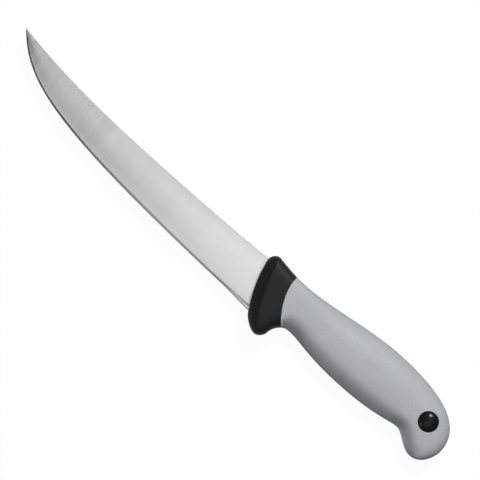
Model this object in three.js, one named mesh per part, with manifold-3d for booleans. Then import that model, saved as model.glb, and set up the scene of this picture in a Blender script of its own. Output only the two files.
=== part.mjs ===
// Butcher knife lying on its side: an upswept blade with a hidden tang, a black guard, a grey grip
// moulded over a hard core, two cross pins, and a two-piece rivet near the butt.
// Millimetres. +X runs from the tip to the butt, +Y towards the spine, +Z up out of the side that is shown.
import * as THREE from 'three';
import { mergeVertices } from 'three/addons/utils/BufferGeometryUtils.js';
import Module from 'manifold-3d';

const wasm = await Module();
wasm.setup();

// Blade
const bladeLength = 180.4; // tip to the guard, along the spine
const heelHeight = 27.06; // spine to edge beside the guard
const tipRise = 4.96; // tip above the spine's end at the guard
const bladeThickness = 2.2;
const tipThickness = 1.1;
const taperLength = 70; // the blade thins towards the tip over this length
const edgeBevel = 1.3; // width of the sharpened bevel
const heelBevel = 2.8; // the bevel's width beside the guard, where it runs out
const edgeShoulder = 0.5; // thickness just above the bevel
const grindHeight = 18; // height of the ground face beside the guard
const spineChamfer = 0.35;
const heelX = -3; // where the edge meets the guard
const heelRunOut = 16; // length over which the edge drops towards the guard
const heelDrop = 0.95;
const bladeInGuard = 14.3; // how far the blade reaches into the guard at the spine
const tipBlunt = 0.001; // share of the outline that the rounded point takes off

// Tang, the strip of the blade inside the handle
const tangHeight = 10.5;
const tangStartY = 4.4;
const tangRoot = 6; // length of tang that runs on into the blade

// Guard
const guardFrontTop = [-12.8, 14];
const spineBelow = 0.24; // the spine enters this far below the front line's upper end
const guardCrest = [-8, 18.36];
const guardFrontLow = [-1.1, -16.15];
const quillon = [8, -21.5]; // lowest point of the guard
const quillonBack = [13.1, -17];
const guardFrontBow = 1.95; // how far the front line bulges towards the blade
const guardDepth = 16.5; // front line to seam
const noseThickness = 10.4; // thickness at the front line
const facetRun = 5.2; // width of the sloping front facet at its upper end
const facetRunLow = 7.4; // and at its lower end
const creaseRound = 0.7;
const guardThickness = 20.15;
const guardTaperFrom = 0.5; // share of the way to the seam where it starts to thin towards the seam
const guardTopSquareness = 6.2; // of the sections at the front, above and below
const guardBottomSquareness = 4.4;

// Grip
const seamTop = [5.3, 16.58];
const seamBottom = [17, -9.5];
const seamBow = 3.2;
const fingerRest = [22.3, -8.1];
const palmCrest = [74.8, 22.76];
const belly = [60.5, -11.4];
const buttBack = [125.65, -1.2];
const beakRoot = [98.7, -7.4];
const beak = [114.6, -14.35];
const seamThickness = 19.8;
const waistThickness = 18.2;
const palmThickness = 20.2;
const buttThickness = 17.2;
const waistAt = 0.18; // places along the grip, as shares of its lower outline
const palmAt = 0.5;
const buttAt = 0.82;
const bowFade = 0.4;
const buttRounding = 18;
const seamTopSquareness = 4.2; // of the sections at the seam, above and below
const seamBottomSquareness = 5;
const topSquareness = 2.05; // of the sections along the grip
const bottomSquareness = 2.2;
const buttSquareness = 2;
const seamTopEnd = 0.25; // places where the seam's squareness has run out, above and below
const seamBottomEnd = 0.035;
const buttSquareFrom = 0.6; // places between which the upper half rounds off towards the butt
const buttSquareAt = 0.85;
const sectionCrest = 0.14; // sections are thickest this share of their half height above the middle
const pinchReach = 10.5; // within this distance of their lower edge the sections draw in
const beakReach = 12.5; // and within this one under the beak
const pinchPower = 2.8; // how soon they draw in towards that edge
const restPinch = 0.78; // how much they draw in there, at the finger rest, waist, belly and beak
const waistPinch = 0.54;
const bellyPinch = 0.66;
const beakPinch = 0.82;
const restAt = 0.032; // places along the grip where each of these is reached or left
const restEnd = 0.06;
const waistPinchAt = 0.17;
const waistPinchEnd = 0.22;
const bellyAt = 0.55;
const bellyEnd = 0.66;
const beakAt = 0.8;
const sectionLag = 1.12; // the upper outline lags behind the lower one, so that sections fan around the butt
const flatThickness = 20; // across the flat lands on the two sides, on which the knife lies

// Core
const gripWall = 3.5;
const coreThickness = 10;
const coreWall = 2.75; // core around the end of the tang
const coreEdge = 2;
const coreSetback = 1; // core's front behind the blade's shoulders

// Pins and rivet
const pinRadius = 2;
const pinSink = 0.5; // the pins end below the core's sides
const frontPinX = 34;
const rearPinX = 74;
const rivet = [109.72, 6.06];
const rivetHeadRadius = 5.72;
const rivetSeat = 7.7; // mid-plane to the underside of a head
const rivetRim = 0.2;
const rivetDome = 1.5;
const domePower = 2.3; // how evenly the dome falls from its middle to its rim
const studRadius = 2;
const sleeveRadius = 3.2;
const sleeveShort = 2; // the sleeve stops this far short of the other head
const studShort = 2; // and so does the stud inside it

// Fits
const fitGap = 0.25;
const seamGap = 0.3;

// Fineness of the curved surfaces
const sideSteps = 20;
const guardSteps = 14;
const gripSteps = 44;
const bladeSteps = 36;
const roundSteps = 32;

const degree = Math.PI / 180;
const spineEnd = [guardFrontTop[0], guardFrontTop[1] - spineBelow];
const bladeRear = spineEnd[0] + bladeInGuard;
const coreFront = bladeRear + coreSetback;
const mix = THREE.MathUtils.lerp;

function ease(share) {
  return THREE.MathUtils.smoothstep(share, 0, 1);
}

// How much of the way between two places is behind this one, eased at both ends.
function passed(place, from, to) {
  return ease((place - from) / (to - from));
}

function softMin(a, b, width) {
  const share = THREE.MathUtils.clamp(0.5 + (0.5 * (b - a)) / width, 0, 1);
  return mix(b, a, share) - width * share * (1 - share);
}

// One curved stretch of outline that leaves its first point and reaches its last at the given angles in
// degrees, with a pull at each end that is a share of the distance between them.
function stretch(from, leaving, leavingPull, to, arriving, arrivingPull) {
  const start = new THREE.Vector2(...from);
  const end = new THREE.Vector2(...to);
  const reach = start.distanceTo(end);
  const pull = (angle, share) =>
    new THREE.Vector2(Math.cos(angle * degree), Math.sin(angle * degree)).multiplyScalar(share * reach);
  return new THREE.CubicBezierCurve(
    start,
    start.clone().add(pull(leaving, leavingPull)),
    end.clone().sub(pull(arriving, arrivingPull)),
    end,
  );
}

function straight(from, to) {
  return new THREE.LineCurve(new THREE.Vector2(...from), new THREE.Vector2(...to));
}

function outline(...curves) {
  const path = new THREE.CurvePath();
  for (const curve of curves) path.add(curve);
  return path;
}

// A closed skin over rings of equally many points. A ring starts on the mid-plane at its lower end, goes up
// the +Z side and comes down the -Z side. The ends are closed straight across; a ring of one point is a tip.
function loft(rings) {
  const points = rings.flat();
  const faces = [];
  const starts = [];
  let count = 0;
  for (const ring of rings) {
    starts.push(count);
    count += ring.length;
  }
  const size = rings[0].length;
  for (let r = 0; r < rings.length - 1; r += 1) {
    for (let k = 0; k < size; k += 1) {
      const next = (k + 1) % size;
      const a = starts[r] + k;
      const b = starts[r] + next;
      if (rings[r + 1].length === 1) {
        faces.push(a, starts[r + 1], b);
      } else {
        const c = starts[r + 1] + next;
        const d = starts[r + 1] + k;
        faces.push(a, c, b, a, d, c);
      }
    }
  }
  const close = (start, facesBack) => {
    for (let k = 0; k < size / 2; k += 1) {
      const a = start + k;
      const b = start + k + 1;
      const c = start + ((size - k - 1) % size);
      const d = start + ((size - k) % size);
      const corners = [];
      if (a !== d) corners.push([a, c, d]);
      if (b !== c) corners.push([a, b, c]);
      for (const [p, q, s] of corners) faces.push(...(facesBack ? [p, s, q] : [p, q, s]));
    }
  };
  close(starts[0], false);
  if (rings.at(-1).length > 1) close(starts.at(-1), true);
  const geometry = new THREE.BufferGeometry();
  geometry.setAttribute('position', new THREE.Float32BufferAttribute(points.flatMap((p) => p.toArray()), 3));
  geometry.setIndex(faces);
  return geometry;
}

function solid(geometry) {
  const bare = geometry.clone();
  bare.deleteAttribute('normal');
  bare.deleteAttribute('uv');
  const merged = mergeVertices(bare, 1e-4);
  return new wasm.Manifold(
    new wasm.Mesh({
      numProp: 3,
      vertProperties: new Float32Array(merged.attributes.position.array),
      triVerts: new Uint32Array(merged.index.array),
    }),
  );
}

function geometryOf(body) {
  const mesh = body.getMesh();
  const geometry = new THREE.BufferGeometry();
  geometry.setAttribute('position', new THREE.BufferAttribute(mesh.vertProperties, 3));
  geometry.setIndex(new THREE.BufferAttribute(mesh.triVerts, 1));
  geometry.computeVertexNormals();
  return geometry;
}

// A round bar through the handle, across the mid-plane.
function crossBar([x, y], radius, length) {
  const bar = new THREE.CylinderGeometry(radius, radius, length, roundSteps);
  bar.rotateX(90 * degree);
  bar.translate(x, y, 0);
  return solid(bar);
}

// Blade

const tip = [spineEnd[0] - bladeLength, spineEnd[1] + tipRise];
const edgeEnd = [heelX - heelRunOut, spineEnd[1] - heelHeight];
const runOutSlope = heelDrop / heelRunOut;
const spinePath = outline(
  stretch(tip, -9.1, 0.256, spineEnd, 1.6, 0.54),
  straight(spineEnd, [bladeRear, spineEnd[1]]),
);
const edgePath = outline(
  stretch(tip, -47.8, 0.158, edgeEnd, -1, 0.747),
  straight(edgeEnd, [bladeRear, edgeEnd[1] - runOutSlope * (bladeRear - edgeEnd[0])]),
);

// One ring of the blade, from the edge up to the spine and back, made larger all round by grow for a slot.
function bladeRing(u, grow) {
  const edge = edgePath.getPoint(u);
  const spine = spinePath.getPoint(u);
  const across = spine.clone().sub(edge);
  const height = across.length();
  across.normalize();
  const towardsTip = THREE.MathUtils.clamp((tip[0] + taperLength - edge.x) / taperLength, 0, 1);
  const half = mix(bladeThickness, tipThickness, towardsTip) / 2;
  const runOut = THREE.MathUtils.clamp((edge.x - edgeEnd[0]) / heelRunOut, 0, 1);
  const bevel = Math.min(mix(edgeBevel, heelBevel, runOut), 0.25 * height);
  const shoulder = Math.min(edgeShoulder / 2, half);
  const grindTop = (grindHeight / heelHeight) * height;
  const rows = [[bevel, shoulder]];
  for (const share of [0.35, 0.7, 1]) {
    rows.push([mix(bevel, grindTop, share), mix(shoulder, half, share * (2 - share))]);
  }
  const chamfer = Math.min(spineChamfer, half / 2, height / 8);
  rows.push([height - chamfer + grow, half]);
  rows.push([height + grow, half - chamfer]);
  const place = ([distance, halfThickness], side) => {
    const at = edge.clone().addScaledVector(across, distance);
    return new THREE.Vector3(at.x, at.y, side * (halfThickness + grow));
  };
  const low = edge.clone().addScaledVector(across, -grow);
  const high = edge.clone().addScaledVector(across, height + grow);
  return [
    new THREE.Vector3(low.x, low.y, 0),
    ...rows.map((row) => place(row, 1)),
    new THREE.Vector3(high.x, high.y, 0),
    ...rows.map((row) => place(row, -1)).reverse(),
  ];
}

function bladeBody(grow) {
  const rings = [];
  for (let step = 0; step <= bladeSteps; step += 1) {
    rings.push(bladeRing(mix(tipBlunt, 1, (step / bladeSteps) ** 1.5), grow));
  }
  for (const point of rings.at(-1)) point.x += grow;
  return solid(loft(rings));
}

// The tang is a strip that ends in a half circle around the rivet.
function tangBody(grow) {
  const half = tangHeight / 2 + grow;
  const shape = new THREE.Shape();
  shape.moveTo(bladeRear - tangRoot, tangStartY - half);
  shape.lineTo(rivet[0], rivet[1] - half);
  shape.absarc(rivet[0], rivet[1], half, -90 * degree, 90 * degree, false);
  shape.lineTo(bladeRear - tangRoot, tangStartY + half);
  const depth = bladeThickness + 2 * grow;
  const strip = new THREE.ExtrudeGeometry(shape, { depth, bevelEnabled: false, curveSegments: 16 });
  strip.translate(0, 0, -depth / 2);
  return solid(strip);
}

// Height of the tang's centre line at a distance along the handle.
function tangY(x) {
  return mix(tangStartY, rivet[1], (x - bladeRear) / (rivet[0] - bladeRear));
}

const pinPlaces = [frontPinX, rearPinX].map((x) => [x, tangY(x)]);

function makeBlade() {
  let body = bladeBody(0).add(tangBody(0));
  for (const place of pinPlaces) body = body.subtract(crossBar(place, pinRadius + fitGap, coreThickness));
  return body.subtract(crossBar(rivet, sleeveRadius + fitGap, coreThickness));
}

// Handle surface: guard and grip share one skin, divided at the seam

const guardTop = outline(
  stretch(guardFrontTop, 85, 0.366, guardCrest, -10.2, 0.357),
  stretch(guardCrest, -10.2, 0.322, seamTop, -5, 0.2),
);
const guardBottom = outline(
  stretch(guardFrontLow, -46.3, 0.5, quillon, 0, 0.168),
  stretch(quillon, 0, 0.436, quillonBack, 81.7, 0.21),
  stretch(quillonBack, 81.7, 0.5, seamBottom, 42, 0.341),
);
const gripTop = outline(
  stretch(seamTop, -5, 0.285, palmCrest, 0, 0.339),
  stretch(palmCrest, 0, 0.667, buttBack, -90, 0.257),
  stretch(buttBack, -90, 0.232, beak, 180, 0.457),
);
const gripBottom = outline(
  stretch(seamBottom, 42, 0.38, fingerRest, 0, 0.33),
  stretch(fingerRest, 0, 0.19, belly, 0, 0.6),
  stretch(belly, 0, 0.65, beakRoot, 0, 0.13),
  stretch(beakRoot, 0, 0.29, beak, 0, 0.38),
);

// A section's half thickness is a function of v, which runs from -1 at its lower edge to 1 at its upper one.
function guardSection(u) {
  const side = mix(guardThickness, seamThickness, passed(u, guardTaperFrom, 1));
  return {
    top: guardTop.getPoint(u),
    bottom: guardBottom.getPoint(u),
    bow: mix(guardFrontBow, seamBow, u),
    half: (v) => {
      const run = mix(facetRunLow, facetRun, (1 + v) / 2);
      const facet = mix(noseThickness, guardThickness, (u * guardDepth) / run);
      return softMin(facet, side, 2 * creaseRound) / 2;
    },
    topPower: mix(guardTopSquareness, seamTopSquareness, u * u),
    bottomPower: mix(guardBottomSquareness, seamBottomSquareness, u * u),
    crest: sectionCrest * ease(u),
  };
}

function gripSection(u) {
  const top = gripTop.getPoint(u - sectionLag * u ** 3 * (1 - u));
  const bottom = gripBottom.getPoint(u);
  const towardsBeak = top.clone().add(bottom).multiplyScalar(0.5).distanceTo(new THREE.Vector2(...beak));
  const short = Math.max(0, 1 - towardsBeak / buttRounding);
  const stops = [
    [0, seamThickness],
    [waistAt, waistThickness],
    [palmAt, palmThickness],
    [buttAt, buttThickness],
    [1, buttThickness],
  ];
  const k = stops.findIndex(([stop]) => stop > u);
  const [from, to] = [stops[k - 1], stops[k]];
  const thickness = mix(from[1], to[1], passed(u, from[0], to[0]));
  const fullHalf = (thickness / 2) * Math.sqrt(1 - short ** 2);
  const nearBeak = passed(u, bellyEnd, beakAt);
  const reach = mix(pinchReach, beakReach, nearBeak);
  let pinch = restPinch * passed(u, 0, restAt);
  pinch = mix(pinch, waistPinch, passed(u, restEnd, waistPinchAt));
  pinch = mix(pinch, bellyPinch, passed(u, waistPinchEnd, bellyAt));
  pinch = mix(pinch, beakPinch, nearBeak);
  const height = top.distanceTo(bottom);
  const roundedTop = mix(seamTopSquareness, topSquareness, passed(u, 0, seamTopEnd));
  return {
    top,
    bottom,
    bow: seamBow * (1 - passed(u, 0, bowFade)),
    half: (v) => {
      const nearEdge = Math.max(0, 1 - ((1 + v) * height) / 2 / reach);
      return fullHalf * (1 - pinch * nearEdge ** pinchPower);
    },
    topPower: mix(roundedTop, buttSquareness, passed(u, buttSquareFrom, buttSquareAt)),
    bottomPower: mix(seamBottomSquareness, bottomSquareness, passed(u, 0, seamBottomEnd)),
    crest: sectionCrest,
  };
}

// A ring of the handle's skin: rounded above and below its crest, and cut off at the flat lands on its sides.
function handleRing(section) {
  const ring = [];
  for (let step = 0; step < 2 * sideSteps; step += 1) {
    const turn = (step / sideSteps - 0.5) * Math.PI;
    const rise = step === sideSteps ? 1 : Math.sin(turn);
    const out = step % sideSteps === 0 ? 0 : Math.cos(turn);
    const power = 2 / (rise > 0 ? section.topPower : section.bottomPower);
    const v = section.crest + (Math.sign(rise) - section.crest) * Math.abs(rise) ** power;
    const z = Math.min(section.half(v) * Math.abs(out) ** power, flatThickness / 2);
    const at = section.bottom.clone().lerp(section.top, (1 + v) / 2);
    ring.push(new THREE.Vector3(at.x - section.bow * (1 - v * v), at.y, Math.sign(out) * z));
  }
  return ring;
}

// Core: the hard inner moulding that holds the tang, made larger all round by grow for the space around it.
function coreBody(grow) {
  const end = tangHeight / 2 + coreWall;
  const frontLow = [coreFront, fingerRest[1] + gripWall];
  const frontHigh = [coreFront, seamTop[1] - gripWall];
  const waist = [fingerRest[0], fingerRest[1] + gripWall];
  const lowest = [belly[0], belly[1] + gripWall];
  const highest = [palmCrest[0], palmCrest[1] - gripWall];
  const endLow = [rivet[0], rivet[1] - end];
  const endHigh = [rivet[0], rivet[1] + end];
  const shape = new THREE.Shape();
  shape.add(straight(frontLow, waist));
  shape.add(stretch(waist, 0, 0.2, lowest, 0, 0.55));
  shape.add(stretch(lowest, 0, 0.45, endLow, 0, 0.35));
  shape.add(new THREE.EllipseCurve(...rivet, end, end, -90 * degree, 90 * degree));
  shape.add(stretch(endHigh, 180, 0.35, highest, 180, 0.4));
  shape.add(stretch(highest, 180, 0.38, frontHigh, 180, 0.35));
  shape.add(straight(frontHigh, frontLow));
  const depth = coreThickness - 2 * coreEdge + 2 * grow;
  const bar = new THREE.ExtrudeGeometry(shape, {
    depth,
    bevelThickness: coreEdge,
    bevelSize: coreEdge,
    bevelOffset: grow - coreEdge,
    bevelSegments: 2,
    curveSegments: 14,
  });
  bar.translate(0, 0, -depth / 2);
  return solid(bar);
}

function makeCore() {
  let body = coreBody(0).subtract(tangBody(fitGap));
  for (const place of pinPlaces) body = body.subtract(crossBar(place, pinRadius + fitGap, 2 * coreThickness));
  return body.subtract(crossBar(rivet, sleeveRadius + fitGap, 2 * coreThickness));
}

function makeGuard() {
  const end = 1 - seamGap / guardDepth;
  const rings = [];
  for (let step = 0; step <= guardSteps; step += 1) {
    rings.push(handleRing(guardSection((end * step) / guardSteps)));
  }
  return solid(loft(rings)).subtract(bladeBody(fitGap)).subtract(tangBody(fitGap)).subtract(coreBody(fitGap));
}

function makeGrip() {
  const rings = [];
  for (let step = 0; step < gripSteps; step += 1) {
    rings.push(handleRing(gripSection(Math.sin(((step / gripSteps) * Math.PI) / 2))));
  }
  rings.push([new THREE.Vector3(beak[0], beak[1], 0)]);
  let body = solid(loft(rings)).subtract(coreBody(fitGap));
  body = body.subtract(crossBar(rivet, sleeveRadius + fitGap, 2 * flatThickness));
  for (const side of [1, -1]) {
    const recess = crossBar(rivet, rivetHeadRadius + fitGap, flatThickness);
    body = body.subtract(recess.translate([0, 0, side * (rivetSeat + flatThickness / 2)]));
  }
  return body;
}

// Pins and rivet

function makePin(place) {
  return crossBar(place, pinRadius, coreThickness - 2 * pinSink);
}

// A domed head on the +Z side, or the -Z side when flipped, and the shank whose profile is given.
function turnedRivet(shank, flip) {
  const seat = rivetSeat + fitGap;
  const profile = [];
  const domeSteps = 7;
  for (let step = 0; step <= domeSteps; step += 1) {
    const lean = (step / domeSteps) * 90 * degree;
    const share = Math.sin(lean);
    profile.push(new THREE.Vector2(rivetHeadRadius * share, seat + rivetRim + rivetDome * (1 - share ** domePower)));
  }
  profile.push(new THREE.Vector2(rivetHeadRadius, seat));
  profile.push(...shank.map(([r, z]) => new THREE.Vector2(r, z)));
  const turned = new THREE.LatheGeometry(profile.reverse(), roundSteps);
  turned.rotateX((flip ? -90 : 90) * degree);
  turned.translate(rivet[0], rivet[1], 0);
  return solid(turned);
}

function makeStud() {
  const reach = studShort - rivetSeat;
  const seat = rivetSeat + fitGap;
  return turnedRivet([[studRadius, seat], [studRadius, reach], [0, reach]], false);
}

function makeSocket() {
  const seat = rivetSeat + fitGap;
  const mouth = sleeveShort - rivetSeat;
  const hollow = studRadius + fitGap;
  const floor = rivetSeat - studShort + fitGap;
  const outside = [[sleeveRadius, seat], [sleeveRadius, mouth]];
  const inside = [[hollow, mouth], [hollow, floor], [0, floor]];
  return turnedRivet([...outside, ...inside], true);
}

const steel = { color: 0xc4c6c8, roughness: 0.35, metalness: 1 };
const blackRubber = { color: 0x26272a, roughness: 0.6, metalness: 0 };
const greyPlastic = { color: 0xb2b6ba, roughness: 0.6, metalness: 0 };
const blackCore = { color: 0x303235, roughness: 0.7, metalness: 0 };
const glossBlack = { color: 0x17181a, roughness: 0.25, metalness: 0 };

const pieces = [
  ['blade', makeBlade(), steel],
  ['core', makeCore(), blackCore],
  ['tang_pin_front', makePin(pinPlaces[0]), steel],
  ['tang_pin_rear', makePin(pinPlaces[1]), steel],
  ['guard', makeGuard(), blackRubber],
  ['grip', makeGrip(), greyPlastic],
  ['rivet_stud', makeStud(), glossBlack],
  ['rivet_socket', makeSocket(), glossBlack],
];

const knife = new THREE.Group();
knife.name = 'butcher_knife';
knife.position.z = flatThickness / 2;
for (const [name, body, look] of pieces) {
  const mesh = new THREE.Mesh(geometryOf(body), new THREE.MeshStandardMaterial(look));
  mesh.name = name;
  knife.add(mesh);
}

const part = new THREE.Group();
part.add(knife);

export default part;
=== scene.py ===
import bisect
import math

import bmesh
import bpy
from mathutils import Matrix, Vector
from mathutils.geometry import interpolate_bezier


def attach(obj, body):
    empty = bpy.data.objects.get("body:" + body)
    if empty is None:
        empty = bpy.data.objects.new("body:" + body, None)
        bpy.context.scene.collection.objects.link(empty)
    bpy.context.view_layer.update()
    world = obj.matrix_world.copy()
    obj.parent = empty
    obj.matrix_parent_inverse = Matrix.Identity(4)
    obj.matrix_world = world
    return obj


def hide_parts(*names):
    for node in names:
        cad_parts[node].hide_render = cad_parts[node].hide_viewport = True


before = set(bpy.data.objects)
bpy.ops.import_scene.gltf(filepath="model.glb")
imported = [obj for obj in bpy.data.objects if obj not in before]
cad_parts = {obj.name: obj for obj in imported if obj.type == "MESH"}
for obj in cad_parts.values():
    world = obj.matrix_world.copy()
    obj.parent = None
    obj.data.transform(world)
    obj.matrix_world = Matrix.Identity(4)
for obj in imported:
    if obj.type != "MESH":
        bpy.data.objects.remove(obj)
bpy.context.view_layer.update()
scene = bpy.context.scene
scene.view_settings.view_transform = "Standard"

# Sizes are in millimetres, in the knife's frame: +X tip to butt, +Y edge to spine,
# +Z out of the shown side, z = 0 on the mid-plane
mm = 0.001
midHeight = 10.0  # mid-plane above the floor
outlineSteps = 240  # points on each stretch of an outline
curveSteps = 96  # and on each stretch of a curve object
sharpAngle = 38  # degrees; mouldings stay sharp at steeper edges
mergeDistance = 0.002 * mm
roundingError = 0.000001  # of a sine


def place(x, y, z):
    return Vector((x * mm, y * mm, (z + midHeight) * mm))


def mix(a, b, share):
    return a + (b - a) * share


def clamp(value, low=0.0, high=1.0):
    return max(low, min(high, value))


def ease(share):
    share = clamp(share)
    return share * share * (3 - 2 * share)


def softMin(a, b, width):
    share = clamp(0.5 + 0.5 * (b - a) / width)
    return mix(b, a, share) - width * share * (1 - share)


# Outlines

def stretch(start, leaving, leavingPull, end, arriving, arrivingPull):
    # one Bezier stretch, from its end points, its angles there and its pulls as shares of the chord
    first = Vector(start)
    last = Vector(end)
    reach = (last - first).length
    out = Vector((math.cos(math.radians(leaving)), math.sin(math.radians(leaving))))
    into = Vector((math.cos(math.radians(arriving)), math.sin(math.radians(arriving))))
    return [first, first + out * (leavingPull * reach), last - into * (arrivingPull * reach), last]


def straight(start, end):
    first = Vector(start)
    last = Vector(end)
    return [first, first.lerp(last, 1 / 3), first.lerp(last, 2 / 3), last]


class Outline:
    # a run of stretches, read by the share of its length
    def __init__(self, *stretches):
        self.stretches = stretches
        self.points = []
        for control in stretches:
            run = interpolate_bezier(*[p.to_3d() for p in control], outlineSteps)
            self.points += run if not self.points else run[1:]
        self.lengths = [0.0]
        for a, b in zip(self.points, self.points[1:]):
            self.lengths.append(self.lengths[-1] + (b - a).length)

    def at(self, share):
        target = clamp(share) * self.lengths[-1]
        k = min(max(bisect.bisect_right(self.lengths, target), 1), len(self.points) - 1)
        span = self.lengths[k] - self.lengths[k - 1]
        return self.points[k - 1].lerp(self.points[k], (target - self.lengths[k - 1]) / span).to_2d()

    def curveObject(self, name):
        data = bpy.data.curves.new(name, "CURVE")
        data.dimensions = "3D"
        data.resolution_u = curveSteps
        spline = data.splines.new("BEZIER")
        spline.bezier_points.add(len(self.stretches))
        for k, point in enumerate(spline.bezier_points):
            before = self.stretches[k - 1] if k > 0 else None
            after = self.stretches[k] if k < len(self.stretches) else None
            knot = after[0] if after else before[3]
            point.handle_left_type = "FREE"
            point.handle_right_type = "FREE"
            point.co = place(*knot, 0)
            point.handle_left = place(*(before[2] if before else knot), 0)
            point.handle_right = place(*(after[1] if after else knot), 0)
        item = bpy.data.objects.new(name, data)
        scene.collection.objects.link(item)
        return item


# Mesh helpers

def skin(name, rings, sharpRows=(), marks=None):
    # closed skin over rings of equally many points; rings run up the +Z side and down the -Z side
    # marks hold one value for each face of each ring; on the blade they carry the painted shade of its
    # bevel
    mesh = bpy.data.meshes.new(name)
    shell = bmesh.new()
    size = len(rings[0])
    grid = [[shell.verts.new(place(*point)) for point in ring] for ring in rings]
    markLayer = shell.faces.layers.float.new("bevelShade") if marks else None
    for number, (a, b) in enumerate(zip(grid, grid[1:])):
        for k in range(size):
            face = shell.faces.new((a[k], a[(k + 1) % size], b[(k + 1) % size], b[k]))
            if marks:
                face[markLayer] = marks[number][k]
    for ring in (grid[0], grid[-1]):
        for k in range(size // 2):
            corners = [ring[k], ring[k + 1], ring[(size - k - 1) % size], ring[(size - k) % size]]
            unique = list(dict.fromkeys(corners))
            shell.faces.new(unique)
    for face in shell.faces:
        face.smooth = True
    for row in sharpRows:
        for side in {row, (size - row) % size}:
            for a, b in zip(grid, grid[1:]):
                shell.edges.get((a[side], b[side])).smooth = False
    bmesh.ops.recalc_face_normals(shell, faces=shell.faces)
    shell.to_mesh(mesh)
    shell.free()
    item = bpy.data.objects.new(name, mesh)
    scene.collection.objects.link(item)
    return item


def bake(item):
    # the object's modifiers become its plain mesh
    scene.view_layers[0].update()
    graph = bpy.context.evaluated_depsgraph_get()
    mesh = bpy.data.meshes.new_from_object(item.evaluated_get(graph))
    old = item.data
    item.modifiers.clear()
    item.data = mesh
    if old.users == 0:
        bpy.data.meshes.remove(old)
    return item


def cut(item, *cutters):
    for cutter in cutters:
        step = item.modifiers.new("cut", "BOOLEAN")
        step.operation = "DIFFERENCE"
        step.solver = "EXACT"
        step.object = cutter
        bake(item)


def discard(*items):
    for item in items:
        bpy.data.objects.remove(item)


def smoothBy(item, angle):
    item.data.shade_smooth()
    item.data.set_sharp_from_angle(angle=math.radians(angle))


def finishPiece(item, slot, material, *nodes):
    item.data.materials.clear()
    item.data.materials.append(material)
    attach(item, "root")
    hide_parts(*nodes)
    print("knife:", item.name, len(item.data.polygons), "faces")


# Node helpers, for geometry and for shaders

def wire(tree, value, socket):
    if isinstance(value, bpy.types.NodeSocket):
        tree.links.new(value, socket)
    else:
        socket.default_value = value


def calc(tree, operation, *values):
    node = tree.nodes.new("ShaderNodeMath")
    node.operation = operation
    for value, socket in zip(values, node.inputs):
        wire(tree, value, socket)
    return node.outputs[0]


def blendValue(tree, a, b, share):
    node = tree.nodes.new("ShaderNodeMix")
    node.data_type = "FLOAT"
    node.clamp_factor = False
    wire(tree, share, node.inputs["Factor"])
    wire(tree, a, node.inputs["A"])
    wire(tree, b, node.inputs["B"])
    return node.outputs["Result"]


def joinXyz(tree, x, y, z):
    node = tree.nodes.new("ShaderNodeCombineXYZ")
    for value, socket in zip((x, y, z), node.inputs):
        wire(tree, value, socket)
    return node.outputs[0]


def splitXyz(tree, vector):
    node = tree.nodes.new("ShaderNodeSeparateXYZ")
    wire(tree, vector, node.inputs[0])
    return node.outputs


def newTree(name, sizes):
    # geometry tree with one named input for each size, with its input sockets and their identifiers
    tree = bpy.data.node_groups.new(name, "GeometryNodeTree")
    kinds = {float: "NodeSocketFloat", int: "NodeSocketInt", tuple: "NodeSocketVector"}
    tree.interface.new_socket("Geometry", in_out="INPUT", socket_type="NodeSocketGeometry")
    identifiers = {}
    for key, value in sizes.items():
        kind = kinds.get(type(value))
        if kind is None:
            kind = "NodeSocketMaterial" if isinstance(value, bpy.types.Material) else "NodeSocketObject"
        identifiers[key] = tree.interface.new_socket(key, in_out="INPUT", socket_type=kind).identifier
    tree.interface.new_socket("Geometry", in_out="OUTPUT", socket_type="NodeSocketGeometry")
    entry = tree.nodes.new("NodeGroupInput")
    return tree, entry.outputs, identifiers


def grownFrom(name, tree, identifiers, sizes):
    # an object whose mesh is what the tree makes from these sizes
    item = bpy.data.objects.new(name, bpy.data.meshes.new(name))
    scene.collection.objects.link(item)
    step = item.modifiers.new("grow", "NODES")
    step.node_group = tree
    for key, value in sizes.items():
        step[identifiers[key]] = value
    return bake(item)


def endTree(tree, geometry, material):
    real = tree.nodes.new("GeometryNodeRealizeInstances")
    paint = tree.nodes.new("GeometryNodeSetMaterial")
    leave = tree.nodes.new("NodeGroupOutput")
    tree.links.new(geometry, real.inputs[0])
    tree.links.new(real.outputs[0], paint.inputs["Geometry"])
    tree.links.new(material, paint.inputs["Material"])
    tree.links.new(paint.outputs[0], leave.inputs[0])


# Finishes

def newFinish(name):
    material = bpy.data.materials.new(name)
    material.use_nodes = True
    tree = material.node_tree
    tree.nodes.clear()
    leave = tree.nodes.new("ShaderNodeOutputMaterial")
    shader = tree.nodes.new("ShaderNodeBsdfPrincipled")
    tree.links.new(shader.outputs[0], leave.inputs[0])
    return material, tree, shader


def grain(tree, scale, detail, roughness=0.5):
    # noise on object coordinates; scale holds cells per metre along X, Y and Z
    where = tree.nodes.new("ShaderNodeTexCoord")
    turn = tree.nodes.new("ShaderNodeMapping")
    turn.inputs["Scale"].default_value = scale
    noise = tree.nodes.new("ShaderNodeTexNoise")
    noise.inputs["Scale"].default_value = 1.0
    noise.inputs["Detail"].default_value = detail
    noise.inputs["Roughness"].default_value = roughness
    tree.links.new(where.outputs["Object"], turn.inputs["Vector"])
    tree.links.new(turn.outputs[0], noise.inputs["Vector"])
    return noise.outputs[0]


def spread(tree, value, low, high):
    # noise, which lies about 0.5, spread between two values
    node = tree.nodes.new("ShaderNodeMapRange")
    wire(tree, value, node.inputs["Value"])
    node.inputs["From Min"].default_value = 0.3
    node.inputs["From Max"].default_value = 0.7
    node.inputs["To Min"].default_value = low
    node.inputs["To Max"].default_value = high
    return node.outputs[0]


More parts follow.
